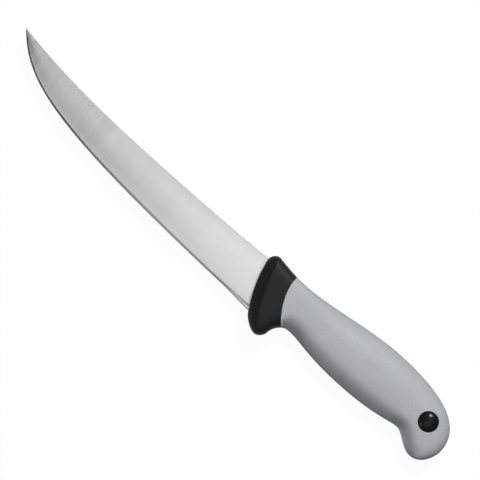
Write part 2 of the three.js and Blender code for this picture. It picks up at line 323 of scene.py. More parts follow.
def blendColour(tree, a, b, share):
    node = tree.nodes.new("ShaderNodeMix")
    node.data_type = "RGBA"
    wire(tree, share, node.inputs["Factor"])
    for value, socket in ((a, node.inputs[6]), (b, node.inputs[7])):
        wire(tree, value if isinstance(value, bpy.types.NodeSocket) else (*value, 1.0), socket)
    return node.outputs[2]


def bump(tree, shader, height, strength, distance):
    node = tree.nodes.new("ShaderNodeBump")
    node.inputs["Strength"].default_value = strength
    node.inputs["Distance"].default_value = distance
    tree.links.new(height, node.inputs["Height"])
    tree.links.new(node.outputs[0], shader.inputs["Normal"])


steelLook = {
    "dark": (0.63, 0.637, 0.645),
    "light": (0.79, 0.797, 0.805),
    # painted shade: the bevel's darker reflection, painted into its colour
    "bevel": (0.34, 0.345, 0.355),
    "streak": (1800, 40, 40),  # grinding lines run across the blade
    "streakShare": (0.0, 0.16),
    "cloud": (60, 45, 45),
    "cloudShare": (0.4, 0.6),
    "roughness": (0.31, 0.37),
    "bevelRoughness": 0.24,
    "bump": (0.02, 0.00002),
}


def satinSteel():
    material, tree, shader = newFinish("satinSteel")
    streak = grain(tree, steelLook["streak"], 2.0)
    cloud = grain(tree, steelLook["cloud"], 3.0)
    streakShare = spread(tree, streak, *steelLook["streakShare"])
    cloudShare = spread(tree, cloud, *steelLook["cloudShare"])
    share = calc(tree, "ADD", streakShare, cloudShare)
    side = blendColour(tree, steelLook["dark"], steelLook["light"], share)
    mark = tree.nodes.new("ShaderNodeAttribute")
    mark.attribute_name = "bevelShade"
    tone = mark.outputs["Fac"]
    # painted shade: the bevel's colour darkens by the marked amount, standing in for the darker
    # reflection of its steeper face; its lower roughness below is real
    tree.links.new(blendColour(tree, side, steelLook["bevel"], tone), shader.inputs["Base Color"])
    satin = spread(tree, streak, *steelLook["roughness"])
    onBevel = calc(tree, "GREATER_THAN", tone, 0.0)
    roughness = blendValue(tree, satin, steelLook["bevelRoughness"], onBevel)
    tree.links.new(roughness, shader.inputs["Roughness"])
    shader.inputs["Metallic"].default_value = 1.0
    bump(tree, shader, streak, *steelLook["bump"])
    return material


plasticLooks = {
    "guardBlack": {
        "dark": (0.0040, 0.0046, 0.0064),
        "light": (0.0060, 0.0068, 0.0093),
        "grain": 2600,
        "cloud": 120,
        "roughness": (0.52, 0.59),
        "specular": 0.25,
        "bump": (0.12, 0.00004),
    },
    "gripGrey": {
        "dark": (0.383, 0.408, 0.434),
        "light": (0.471, 0.499, 0.527),
        "grain": 1900,
        "cloud": 90,
        "roughness": (0.51, 0.59),
        "specular": 0.12,
        "bump": (0.15, 0.00005),
    },
    "rivetBlack": {
        "dark": (0.0081, 0.0084, 0.0095),
        "light": (0.0113, 0.0117, 0.0130),
        "grain": 3200,
        "cloud": 260,
        "roughness": (0.19, 0.23),
        "specular": 0.125,
        "bump": (0.012, 0.00002),
    },
    "coreBlack": {
        "dark": (0.030, 0.031, 0.033),
        "light": (0.050, 0.051, 0.054),
        "grain": 1500,
        "cloud": 100,
        "roughness": (0.55, 0.70),
        "specular": 0.4,
        "bump": (0.10, 0.00004),
    },
}


def mouldedPlastic(name):
    look = plasticLooks[name]
    material, tree, shader = newFinish(name)
    fine = grain(tree, (look["grain"],) * 3, 2.0)
    cloud = grain(tree, (look["cloud"],) * 3, 3.0)
    fineShare = spread(tree, fine, 0.0, 0.7)
    cloudShare = spread(tree, cloud, 0.0, 0.3)
    share = calc(tree, "ADD", fineShare, cloudShare)
    tree.links.new(blendColour(tree, look["dark"], look["light"], share), shader.inputs["Base Color"])
    tree.links.new(spread(tree, fine, *look["roughness"]), shader.inputs["Roughness"])
    shader.inputs["Specular IOR Level"].default_value = look["specular"]
    bump(tree, shader, fine, *look["bump"])
    return material


bladeFinish = satinSteel()
guardFinish = mouldedPlastic("guardBlack")
gripFinish = mouldedPlastic("gripGrey")
rivetFinish = mouldedPlastic("rivetBlack")
coreFinish = mouldedPlastic("coreBlack")
print("knife: finishes ready")


# Blade

blade = {
    "tip": (-193.2, 18.72),
    "spineTurn": (-40.29, 13.04),
    "spineEnd": (-12.8, 14.1),
    "edgeEnd": (-19.0, -13.3),
    "rear": 1.5,
    "heelRunOut": 16.0,
    "heelDrop": 1.15,
    "height": 27.06,
    "thickness": 2.2,
    "tipThickness": 0.95,
    "tipThinning": 0.055,  # most half thickness above the bevel, as a share of the height
    "taper": 70.0,
    "grind": 18.0,  # height of the ground face beside the guard
    "bevels": [  # X, width, half thickness above it, how much the ground face flattens towards it
        (-178.0, 0.95, 0.205, 1.6),
        (-130.0, 1.25, 0.205, 1.6),
        (-80.0, 1.6, 0.21, 1.6),
        (-62.0, 1.5, 0.215, 1.4),
        (-34.0, 1.3, 0.20, -0.9),
        (-22.0, 1.4, 0.225, -1.0),
    ],
    "bevelTones": [  # X, how much painted shade the bevel gets, standing in for the darker reflection of its steeper face
        (-150.0, 1.0),
        (-128.0, 0.68),
        (-64.0, 0.68),
        (-46.0, 0.9),
        (-20.0, 1.0),
        (-13.0, 0.6),
    ],
    "bevelShare": 0.25,  # widest bevel, as a share of the height
    "bevelRows": 3,
    "heelBevel": [(0.45, 0.12), (2.0, 0.27), (2.8, 0.42)],  # beside the guard: height, half thickness
    "hollowPower": 4.5,  # how soon it flattens
    "lean": 0.017,  # the sides lean in from the spine to the edge
    "swell": (5.0, 0.15),  # and swell a little just below the spine: height, depth
    "swellFrom": (22.5, 25.0),  # blade heights between which the swell grows
    "chamfer": (0.25, 0.16),  # along the side and across the spine
    "chamferFull": 8.0,  # blade height from which the chamfer has its size
    "spineBand": 1.0,  # rows this near the spine move with it where the blade is grown
    "tipBlunt": 0.0012,
    "tangHeight": 10.5,
    "tangStartY": 4.4,
    "tangRings": 24,
    "tangEndStep": 9,  # degrees between the rings of its round end
    "grindRows": 18,
    "flatRows": 10,
    "rings": 260,
    "ringCrowding": 1.25,  # towards the tip
}
rivetCentre = (109.72, 6.06)
runOutDrop = blade["heelDrop"] / blade["heelRunOut"] * (blade["rear"] - blade["edgeEnd"][0])
spineLine = Outline(
    stretch(blade["tip"], -9.1, 0.272, blade["spineTurn"], 1.37, 0.507),
    stretch(blade["spineTurn"], 1.37, 0.33, blade["spineEnd"], 3.1, 0.33),
    straight(blade["spineEnd"], (blade["rear"], blade["spineEnd"][1])),
)
edgeLine = Outline(
    stretch(blade["tip"], -47.8, 0.158, blade["edgeEnd"], -1.0, 0.747),
    straight(blade["edgeEnd"], (blade["rear"], blade["edgeEnd"][1] - runOutDrop)),
)


def valuesAt(stops, x):
    # eased between stops that begin with their X
    for (startX, *start), (endX, *end) in zip(stops, stops[1:]):
        if x < endX:
            return [mix(a, b, ease((x - startX) / (endX - startX))) for a, b in zip(start, end)]
    return stops[-1][1:]


def bladeRows(u):
    # (distance from the edge, half thickness) up one side of the blade, with the section's ends
    edge = edgeLine.at(u)
    spine = spineLine.at(u)
    height = (spine - edge).length
    towardsTip = clamp((blade["tip"][0] + blade["taper"] - edge.x) / blade["taper"])
    half = mix(blade["thickness"], blade["tipThickness"], towardsTip) / 2
    runOut = clamp((edge.x - blade["edgeEnd"][0]) / blade["heelRunOut"])
    width, shoulder, hollow = valuesAt(blade["bevels"], edge.x)
    width = min(width, blade["bevelShare"] * height)
    half = min(half, shoulder + blade["tipThinning"] * height)
    swellRun, swellOut = blade["swell"]
    swellLow, swellHigh = blade["swellFrom"]
    swellOut *= clamp((height - swellLow) / (swellHigh - swellLow))
    rows = []

    def side(d):
        below = height - d
        return half - blade["lean"] * below + swellOut * max(0.0, 1 - below / swellRun) ** 2

    for k, (heelD, heelT) in enumerate(blade["heelBevel"]):
        share = (k + 1) / blade["bevelRows"]
        d = mix(share * width, heelD, runOut)
        rows.append((d, min(mix(share * shoulder, heelT, runOut), half)))
    bevelTop, shoulder = rows[-1]
    grindTop = blade["grind"] / blade["height"] * height
    grindDepth = side(grindTop) - shoulder - blade["lean"] * (grindTop - bevelTop)
    for k in range(1, blade["grindRows"] + 1):
        share = k / blade["grindRows"]
        rise = share * (2 - share) - hollow * share * (1 - share) ** blade["hollowPower"]
        d = mix(bevelTop, grindTop, share)
        rows.append((d, shoulder + grindDepth * rise + blade["lean"] * (d - bevelTop)))
    slim = min(1.0, height / blade["chamferFull"])
    chamferRun, chamferDrop = (slim * size for size in blade["chamfer"])
    for k in range(1, blade["flatRows"] + 1):
        d = mix(grindTop, height - chamferRun, k / blade["flatRows"])
        rows.append((d, side(d)))
    rows.append((height, side(height) - chamferDrop))
    return edge, spine, height, rows


def bladeRing(u, grow=0.0):
    edge, spine, height, rows = bladeRows(u)
    across = (spine - edge) / height
    low = edge - across * grow
    high = spine + across * grow
    near = []
    for d, t in rows:
        lift = grow if d > height - blade["spineBand"] else 0.0
        near.append((edge + across * (d + lift), t + grow))
    ring = [(low.x, low.y, 0.0)]
    ring += [(p.x, p.y, t) for p, t in near]
    ring += [(high.x, high.y, 0.0)]
    ring += [(p.x, p.y, -t) for p, t in reversed(near)]
    return ring


def tangRing(x, rowCount, grow=0.0):
    # square-edged strip towards the rivet, with a half-round end
    share = (x - blade["rear"]) / (rivetCentre[0] - blade["rear"])
    centre = mix(blade["tangStartY"], rivetCentre[1], min(share, 1.0))
    reach = blade["tangHeight"] / 2 + grow
    beyond = clamp((x - rivetCentre[0]) / reach)
    tall = reach * math.sqrt(1 - beyond * beyond)
    half = blade["thickness"] / 2 + grow
    levels = [mix(centre - tall, centre + tall, k / (rowCount - 1)) for k in range(rowCount)]
    ring = [(x, levels[0], 0.0)]
    ring += [(x, y, half) for y in levels]
    ring += [(x, levels[-1], 0.0)]
    ring += [(x, y, -half) for y in reversed(levels)]
    return ring


def bladeRings(grow=0.0, first=blade["tipBlunt"]):
    rings = []
    for k in range(blade["rings"] + 1):
        share = (k / blade["rings"]) ** blade["ringCrowding"]
        rings.append(bladeRing(mix(first, 1.0, share), grow))
    rowCount = (len(rings[0]) - 2) // 2
    reach = blade["tangHeight"] / 2 + grow
    steps = blade["tangRings"]
    stops = [mix(blade["rear"], rivetCentre[0], k / steps) for k in range(steps + 1)]
    for angle in range(blade["tangEndStep"], 90, blade["tangEndStep"]):
        stops.append(rivetCentre[0] + reach * math.sin(math.radians(angle)))
    return rings + [tangRing(x, rowCount, grow) for x in stops]


bevelRows = blade["bevelRows"]
ringSize = 2 * (bevelRows + blade["grindRows"] + blade["flatRows"] + 1) + 2
topRow = ringSize // 2
rings = bladeRings()
# painted shade: each bevel face carries how much darker its colour is painted
bevelMarks = []
for ring in rings:
    tone = valuesAt(blade["bevelTones"], ring[0][0])[0]
    bevelMarks.append([tone if min(k, ringSize - 1 - k) < bevelRows else 0.0 for k in range(ringSize)])
bladePiece = skin(
    "bladeSteel",
    rings,
    sharpRows=[*range(bevelRows + 1), topRow - 2, topRow - 1, topRow],
    marks=bevelMarks,
)
finishPiece(bladePiece, "blade_steel", bladeFinish, "blade")


# Core space, cut from the guard and the grip

core = {
    "front": 2.5,
    "wall": 3.5,  # of the grip around it
    "thickness": 10.0,
    "edge": 2.0,
    "edgeSteps": 3,
    "endRadius": 8.0,
    "endSteps": 16,
    "lineSteps": 40,
    "gap": 0.25,
}
# landmarks on the handle's outline
seamTop = (5.3, 16.58)
seamBottom = (17, -9.5)
fingerRest = (22.3, -8.1)
belly = (60.5, -11.4)
beakNotch = (98.7, -7.4)
beak = (114.6, -14.35)
buttBack = (125.6, -1.2)
palmCrest = (74.8, 22.72)


def coreOutline():
    low = fingerRest[1] + core["wall"]
    high = seamTop[1] - core["wall"]
    lowest = (belly[0], belly[1] + core["wall"])
    highest = (palmCrest[0], palmCrest[1] - core["wall"])
    endLow = (rivetCentre[0], rivetCentre[1] - core["endRadius"])
    endHigh = (rivetCentre[0], rivetCentre[1] + core["endRadius"])
    under = Outline(
        straight((core["front"], low), (fingerRest[0], low)),
        stretch((fingerRest[0], low), 0, 0.2, lowest, 0, 0.55),
        stretch(lowest, 0, 0.45, endLow, 0, 0.35),
    )
    over = Outline(
        stretch(endHigh, 180, 0.35, highest, 180, 0.4),
        stretch(highest, 180, 0.38, (core["front"], high), 180, 0.35),
    )
    steps = core["lineSteps"]
    points = [under.at(k / steps) for k in range(steps + 1)]
    for k in range(1, core["endSteps"]):
        turn = math.radians(-90 + 180 * k / core["endSteps"])
        spoke = Vector((math.cos(turn), math.sin(turn)))
        points.append(Vector(rivetCentre) + spoke * core["endRadius"])
    return points + [over.at(k / steps) for k in range(steps + 1)]


def grownOutline(points, grow):
    # the outline moved outwards, corner by corner
    moved = []
    for k, point in enumerate(points):
        before = (point - points[k - 1]).normalized()
        after = (points[(k + 1) % len(points)] - point).normalized()
        side = Vector((before.y + after.y, -before.x - after.x)).normalized()
        lean = max(0.5, side.dot(Vector((before.y, -before.x))))
        moved.append(point + side * (grow / lean))
    return moved


def coreSpace():
    points = coreOutline()
    half = core["thickness"] / 2 + core["gap"]
    levels = []
    for k in range(core["edgeSteps"] + 1):
        turn = math.radians(90 * k / core["edgeSteps"])
        level = half - core["edge"] * (1 - math.cos(turn))
        levels.append((level, core["gap"] - core["edge"] * (1 - math.sin(turn))))
    levels = [(-z, grow) for z, grow in levels] + list(reversed(levels))
    mesh = bpy.data.meshes.new("coreSpace")
    shell = bmesh.new()
    loops = []
    for z, grow in levels:
        loops.append([shell.verts.new(place(*p, z)) for p in grownOutline(points, grow)])
    for a, b in zip(loops, loops[1:]):
        for k in range(len(points)):
            nextK = (k + 1) % len(points)
            shell.faces.new((a[k], a[nextK], b[nextK], b[k]))
    shell.faces.new(loops[0])
    shell.faces.new(loops[-1])
    bmesh.ops.recalc_face_normals(shell, faces=shell.faces)
    shell.to_mesh(mesh)
    shell.free()
    item = bpy.data.objects.new("coreSpace", mesh)
    scene.collection.objects.link(item)
    return item


coreCutter = coreSpace()


# Guard

handleCrest = 0.14  # sections are thickest a little above their middle
seamSquareness = (4.2, 5.0)  # above and below
guard = {
    "noseTop": (-12.8, 14),
    "crest": (-8, 18.36),
    "noseBottom": (-1.14, -16.18),
    "lowest": (8, -21.46),
    "rearTurn": (13.1, -17),
    "depth": 16.5,
    "frontBow": 1.82,
    "seamBow": 3.2,
    "noseThickness": 10.4,
    "facetRun": (7.4, 5.2),  # at the lower and the upper edge
    "creaseRound": 0.7,
    "thickness": 20.15,
    "seamThickness": 19.8,
    "squareness": (6.2, 6.0),  # above and below
    "flat": 10.0,  # half thickness across the flat lands
    "flatRound": 0.35,
    "noseRound": 0.4,
    "seamRound": 0.15,
    "seamGap": 0.04,
    "slotGap": 0.05,
    "slotFrom": 0.8,  # share of the blade's length where the cutter for its slot starts
    "rings": 96,
    "noseSteps": 8,
    "seamSteps": 4,
    "aroundHalf": 72,
}
guardTop = Outline(
    stretch(guard["noseTop"], 85, 0.366, guard["crest"], -10.2, 0.357),
    stretch(guard["crest"], -10.2, 0.322, seamTop, -5, 0.2),
)
guardBottom = Outline(
    stretch(guard["noseBottom"], -46.3, 0.495, guard["lowest"], 0, 0.168),
    stretch(guard["lowest"], 0, 0.436, guard["rearTurn"], 81.7, 0.21),
    stretch(guard["rearTurn"], 81.7, 0.50, seamBottom, 42, 0.341),
)


def edgeRounding(distance, radius):
    # how far a rounded edge lies below its corner
    if distance >= radius:
        return 0.0
    return radius - math.sqrt(max(0.0, radius ** 2 - (radius - distance) ** 2))


def guardRing(u):
    depth = u * guard["depth"]
    side = mix(guard["thickness"], guard["seamThickness"], ease(2 * u - 1))
    rounding = edgeRounding(depth, guard["noseRound"])
    rounding += edgeRounding((1 - u) * guard["depth"] - guard["seamGap"], guard["seamRound"])
    bow = mix(guard["frontBow"], guard["seamBow"], u)
    crest = handleCrest * ease(u)
    top = guardTop.at(u)
    bottom = guardBottom.at(u)
    count = guard["aroundHalf"]
    ring = []
    for k in range(2 * count):
        turn = (k / count - 0.5) * math.pi
        rise = 1.0 if k == count else math.sin(turn)
        out = 0.0 if k % count == 0 else math.cos(turn)
        part = 0 if rise > 0 else 1
        power = 2 / mix(guard["squareness"][part], seamSquareness[part], u * u)
        v = crest + math.copysign(abs(rise) ** power, rise) * (1 - math.copysign(crest, rise))
        facetRun = mix(*guard["facetRun"], (1 + v) / 2)
        facet = mix(guard["noseThickness"], guard["thickness"], depth / facetRun)
        half = softMin(facet, side, 2 * guard["creaseRound"]) / 2 - rounding
        z = softMin(half * abs(out) ** power, guard["flat"], guard["flatRound"])
        at = bottom.lerp(top, (1 + v) / 2)
        ring.append((at.x - bow * (1 - v * v), at.y, math.copysign(z, out) if out else 0.0))
    return ring


def guardStops():
    # rings crowd together at the nose and at the seam
    last = 1 - guard["seamGap"] / guard["depth"]
    noseShare = guard["noseRound"] / guard["depth"]
    seamShare = guard["seamRound"] / guard["depth"]
    noseSteps = guard["noseSteps"]
    seamSteps = guard["seamSteps"]
    stops = [noseShare * (k / noseSteps) ** 2 for k in range(noseSteps)]
    stops += [mix(noseShare, last - seamShare, k / guard["rings"]) for k in range(guard["rings"])]
    return stops + [last - seamShare * (1 - k / seamSteps) ** 2 for k in range(seamSteps + 1)]


guardPiece = skin("guardMoulding", [guardRing(u) for u in guardStops()])
slotCutter = skin("bladeSlot", bladeRings(guard["slotGap"], guard["slotFrom"]))
cut(guardPiece, slotCutter, coreCutter)
discard(slotCutter)
smoothBy(guardPiece, sharpAngle)
finishPiece(guardPiece, "guard_black", guardFinish, "guard")


# Grip: sections between two outlines, grown by a geometry tree

gripTop = Outline(
    stretch(seamTop, -5, 0.285, palmCrest, 0, 0.339),
    stretch(palmCrest, 0, 0.667, buttBack, -90, 0.257),
    stretch(buttBack, -90, 0.232, beak, 180, 0.457),
)
gripBottom = Outline(
    stretch(seamBottom, 42, 0.38, fingerRest, 0, 0.33),
    stretch(fingerRest, 0, 0.19, belly, 0, 0.6),
    stretch(belly, 0, 0.65, beakNotch, 0, 0.13),
    stretch(beakNotch, 0, 0.29, beak, 0, 0.38),
)
topCurve = gripTop.curveObject("gripTopLine")
bottomCurve = gripBottom.curveObject("gripBottomLine")
grip = {
    "inputs": {
        "Top Line": topCurve,
        "Bottom Line": bottomCurve,
        "Rings": 210,
        "Around": 160,
        "Seam Thickness": guard["seamThickness"] * mm,
        "Waist Thickness": 18.2 * mm,
        "Palm Thickness": 20.2 * mm,
        "Butt Thickness": 17.2 * mm,
        "Waist At": 0.18,
        "Palm At": 0.5,
        "Butt At": 0.82,
        "Seam Bow": guard["seamBow"] * mm,
        "Bow Fade": 0.4,
        "Crest": handleCrest,
        "Seam Top Squareness": seamSquareness[0],
        "Seam Bottom Squareness": seamSquareness[1],
        "Top Squareness": 2.05,
        "Butt Squareness": 2.0,
        "Bottom Squareness": 2.2,
        "Rest Pinch": 0.90,
        "Waist Pinch": 0.56,
        "Belly Pinch": 0.62,
        "Beak Pinch": 0.97,
        "Seam Reach": 5.0 * mm,
        "Pinch Reach": 10.5 * mm,
        "Beak Reach": 9.0 * mm,
        "Pinch Power": 2.4,
        "Section Lag": 1.12,
        "Beak": tuple(place(*beak, 0)),
        "Butt Rounding": 18.0 * mm,
        "Flat Half": guard["flat"] * mm,
        "Flat Round": 0.5 * mm,
        "Seam Round": guard["seamRound"] * mm,
        "Material": gripFinish,
    },
    "spans": {  # shares of the length over which each change comes in
        "topRound": (0.0, 0.25),
        "buttRound": (0.6, 0.85),
        "bottomRound": (0.0, 0.105),
        "seamRound": (0.0, 0.0015),
        "restPinch": (0.0, 0.014),
        "waistPinch": (0.06, 0.17),
        "bellyPinch": (0.22, 0.55),
        "beakPinch": (0.7, 0.84),
        "restReach": (0.0, 0.06),
    },
}


def gripTree(sizes, spans):
    tree, given, identifiers = newTree("gripSections", sizes)
    nodes = tree.nodes
    grid = nodes.new("GeometryNodeMeshGrid")
    grid.inputs["Size X"].default_value = 1.0
    grid.inputs["Size Y"].default_value = 1.0
    tree.links.new(given["Rings"], grid.inputs["Vertices X"])
    tree.links.new(calc(tree, "ADD", given["Around"], 1), grid.inputs["Vertices Y"])
    along, around, _ = splitXyz(tree, nodes.new("GeometryNodeInputPosition").outputs[0])
    # the first two rings both stand at the seam: the first is drawn in to the mid-plane, to close the end
    lastRing = calc(tree, "SUBTRACT", given["Rings"], 1)
    ringNumber = calc(tree, "MULTIPLY", calc(tree, "ADD", along, 0.5), lastRing)
    wallNumber = calc(tree, "SUBTRACT", ringNumber, 1)
    share = calc(tree, "DIVIDE", wallNumber, calc(tree, "SUBTRACT", given["Rings"], 2))
    share = calc(tree, "MAXIMUM", share, 0.0)
    isWall = calc(tree, "GREATER_THAN", ringNumber, 0.5)
    u = calc(tree, "SINE", calc(tree, "MULTIPLY", share, math.pi / 2))
    turn = calc(tree, "MULTIPLY", around, 2 * math.pi)
    rise = calc(tree, "SINE", turn)
    out = calc(tree, "COSINE", turn)

    def sampled(line, factor):
        info = nodes.new("GeometryNodeObjectInfo")
        info.transform_space = "ORIGINAL"
        tree.links.new(given[line], info.inputs["Object"])
        read = nodes.new("GeometryNodeSampleCurve")
        read.mode = "FACTOR"
        tree.links.new(info.outputs["Geometry"], read.inputs["Curves"])
        tree.links.new(factor, read.inputs["Factor"])
        return read.outputs["Position"]

    def smoothRise(low, high):
        node = nodes.new("ShaderNodeMapRange")
        node.interpolation_type = "SMOOTHSTEP"
        wire(tree, u, node.inputs["Value"])
        wire(tree, low, node.inputs["From Min"])
        wire(tree, high, node.inputs["From Max"])
        return node.outputs[0]

    isTop = calc(tree, "GREATER_THAN", rise, 0.0)
    above = given["Seam Top Squareness"]
    above = blendValue(tree, above, given["Top Squareness"], smoothRise(*spans["topRound"]))
    above = blendValue(tree, above, given["Butt Squareness"], smoothRise(*spans["buttRound"]))
    below = given["Seam Bottom Squareness"]
    below = blendValue(tree, below, given["Bottom Squareness"], smoothRise(*spans["bottomRound"]))
    power = calc(tree, "DIVIDE", 2.0, blendValue(tree, below, above, isTop))
    # the grid's first and last columns meet at the crest, so a rise within rounding error counts as none
    climb = calc(tree, "SUBTRACT", calc(tree, "ABSOLUTE", rise), roundingError)
    climb = calc(tree, "POWER", calc(tree, "MAXIMUM", climb, 0.0), power)
    way = calc(tree, "MULTIPLY", calc(tree, "SIGN", rise), climb)
    upward = calc(tree, "SUBTRACT", 1.0, given["Crest"])
    reach = blendValue(tree, calc(tree, "ADD", 1.0, given["Crest"]), upward, isTop)
    v = calc(tree, "MULTIPLY_ADD", way, reach, given["Crest"])

    lag = calc(tree, "MULTIPLY", calc(tree, "POWER", u, 3.0), calc(tree, "SUBTRACT", 1.0, u))
    topShare = calc(tree, "SUBTRACT", u, calc(tree, "MULTIPLY", given["Section Lag"], lag))
    top = sampled("Top Line", topShare)
    bottom = sampled("Bottom Line", u)

    stops = [("Seam Thickness", 0.0), ("Waist Thickness", given["Waist At"])]
    stops += [("Palm Thickness", given["Palm At"]), ("Butt Thickness", given["Butt At"])]
    thickness = given["Seam Thickness"]
    for (fromName, low), (toName, high) in zip(stops, stops[1:]):
        change = calc(tree, "SUBTRACT", given[toName], given[fromName])
        thickness = calc(tree, "MULTIPLY_ADD", change, smoothRise(low, high), thickness)

    def between(a, b, factor):
        node = nodes.new("ShaderNodeMix")
        node.data_type = "VECTOR"
        node.clamp_factor = False
        wire(tree, factor, node.inputs[0])
        tree.links.new(a, node.inputs[4])
        tree.links.new(b, node.inputs[5])
        return node.outputs[1]

    def shortOf(a, b, share, reach):
        # from 1 where the two points meet to 0 where this share of their distance fills the reach
        gap = nodes.new("ShaderNodeVectorMath")
        gap.operation = "DISTANCE"
        tree.links.new(a, gap.inputs[0])
        tree.links.new(b, gap.inputs[1])
        filled = calc(tree, "DIVIDE", calc(tree, "MULTIPLY", gap.outputs["Value"], share), reach)
        return calc(tree, "MAXIMUM", calc(tree, "SUBTRACT", 1.0, filled), 0.0)

    # towards the beak the thickness runs out in a round end
    short = shortOf(between(bottom, top, 0.5), given["Beak"], 1.0, given["Butt Rounding"])
    roundEnd = calc(tree, "SQRT", calc(tree, "SUBTRACT", 1.0, calc(tree, "MULTIPLY", short, short)))
    half = calc(tree, "MULTIPLY", calc(tree, "MULTIPLY", thickness, 0.5), roundEnd)
    # a small rounding at the seam
    nearSeam = calc(tree, "SUBTRACT", 1.0, smoothRise(*spans["seamRound"]))
    half = calc(tree, "SUBTRACT", half, calc(tree, "MULTIPLY", nearSeam, given["Seam Round"]))

    # the sides draw in towards the lower edge, most of all at the finger rest and under the beak
    towardsBeak = smoothRise(*spans["beakPinch"])
    pinch = calc(tree, "MULTIPLY", given["Rest Pinch"], smoothRise(*spans["restPinch"]))
    pinch = blendValue(tree, pinch, given["Waist Pinch"], smoothRise(*spans["waistPinch"]))
    pinch = blendValue(tree, pinch, given["Belly Pinch"], smoothRise(*spans["bellyPinch"]))
    pinch = blendValue(tree, pinch, given["Beak Pinch"], towardsBeak)
    level = calc(tree, "MULTIPLY_ADD", v, 0.5, 0.5)
    pinchReach = given["Seam Reach"]
    pinchReach = blendValue(tree, pinchReach, given["Pinch Reach"], smoothRise(*spans["restReach"]))
    pinchReach = blendValue(tree, pinchReach, given["Beak Reach"], towardsBeak)
    nearEdge = calc(tree, "POWER", shortOf(bottom, top, level, pinchReach), given["Pinch Power"])
    drawnIn = calc(tree, "SUBTRACT", 1.0, calc(tree, "MULTIPLY", pinch, nearEdge))
    half = calc(tree, "MULTIPLY", half, drawnIn)

    full = calc(tree, "MULTIPLY", half, calc(tree, "POWER", calc(tree, "ABSOLUTE", out), power))
    z = calc(tree, "SMOOTH_MIN", full, given["Flat Half"], given["Flat Round"])
    z = calc(tree, "MULTIPLY", calc(tree, "MULTIPLY", z, calc(tree, "SIGN", out)), isWall)
    atX, atY, atZ = splitXyz(tree, between(bottom, top, level))
    fade = calc(tree, "SUBTRACT", 1.0, smoothRise(0.0, given["Bow Fade"]))
    bow = calc(tree, "MULTIPLY", given["Seam Bow"], fade)
    bulge = calc(tree, "MULTIPLY", bow, calc(tree, "SUBTRACT", 1.0, calc(tree, "MULTIPLY", v, v)))
    spot = joinXyz(tree, calc(tree, "SUBTRACT", atX, bulge), atY, calc(tree, "ADD", atZ, z))
    move = nodes.new("GeometryNodeSetPosition")
    tree.links.new(grid.outputs["Mesh"], move.inputs["Geometry"])
    tree.links.new(spot, move.inputs["Position"])
    merge = nodes.new("GeometryNodeMergeByDistance")
    merge.inputs["Distance"].default_value = mergeDistance
    tree.links.new(move.outputs[0], merge.inputs["Geometry"])
    endTree(tree, merge.outputs[0], given["Material"])
    return tree, identifiers


rivet = {
    "inputs": {
        "Head Radius": 5.72 * mm,
        "Seat": 7.95 * mm,  # mid-plane to the underside of a head
        "Rim": 0.2 * mm,
        "Dome": 1.5 * mm,
        "Dome Power": 2.3,
        "Shank Radius": 3.2 * mm,
        "Shank End": 0.15 * mm,
        "Profile Points": 56,
        "Around": 128,
        "Centre": tuple(place(*rivetCentre, 0)),
        "Material": rivetFinish,
    },
    "ends": {"dome": 0.7, "rim": 0.78, "seat": 0.84, "shank": 0.94},  # shares of the profile
    "sharpAngle": 50,
}
rivetRecess = {
    "radius": 5.80,
    "seat": 7.7,
    "lip": (0.25, 8.6, 9.2),  # widening, and the heights that it lies between
    "flare": (3.0, 12.0),  # widening and height, clear of the grip
    "shaft": 3.45,
    "shaftReach": 11.0,
    "around": 128,
}


def turnedCutter(name, profile, flip):
    # (radius, height) profile turned about the rivet's axis
    mesh = bpy.data.meshes.new(name)
    shell = bmesh.new()
    count = rivetRecess["around"]
    loops = []
    for radius, height in profile:
        loop = []
        for k in range(count):
            turn = 2 * math.pi * k / count
            x = rivetCentre[0] + radius * math.cos(turn)
            y = rivetCentre[1] + radius * math.sin(turn)
            loop.append(shell.verts.new(place(x, y, -height if flip else height)))
        loops.append(loop)
    for a, b in zip(loops, loops[1:]):
        for k in range(count):
            shell.faces.new((a[k], a[(k + 1) % count], b[(k + 1) % count], b[k]))
    shell.faces.new(loops[0])
    shell.faces.new(loops[-1])
    bmesh.ops.recalc_face_normals(shell, faces=shell.faces)
    shell.to_mesh(mesh)
    shell.free()
    item = bpy.data.objects.new(name, mesh)
    scene.collection.objects.link(item)
    return item


tree, identifiers = gripTree(grip["inputs"], grip["spans"])
gripPiece = grownFrom("gripMoulding", tree, identifiers, grip["inputs"])
discard(topCurve, bottomCurve)
wide = rivetRecess["radius"]
lip, lipLow, lipHigh = rivetRecess["lip"]
flare, flareTop = rivetRecess["flare"]
recessProfile = [
    (wide, rivetRecess["seat"]),
    (wide, lipLow),
    (wide + lip, lipHigh),
    (wide + flare, flareTop),
]
shaftReach = rivetRecess["shaftReach"]
shaftProfile = [(rivetRecess["shaft"], -shaftReach), (rivetRecess["shaft"], shaftReach)]
cutters = [coreCutter, turnedCutter("shaftSpace", shaftProfile, False)]
cutters += [turnedCutter("recessSpace", recessProfile, flip) for flip in (False, True)]
cut(gripPiece, *cutters)
discard(*cutters)
smoothBy(gripPiece, sharpAngle)
finishPiece(gripPiece, "grip_grey", gripFinish, "grip")


# Rivet heads: one turned profile, set on both sides

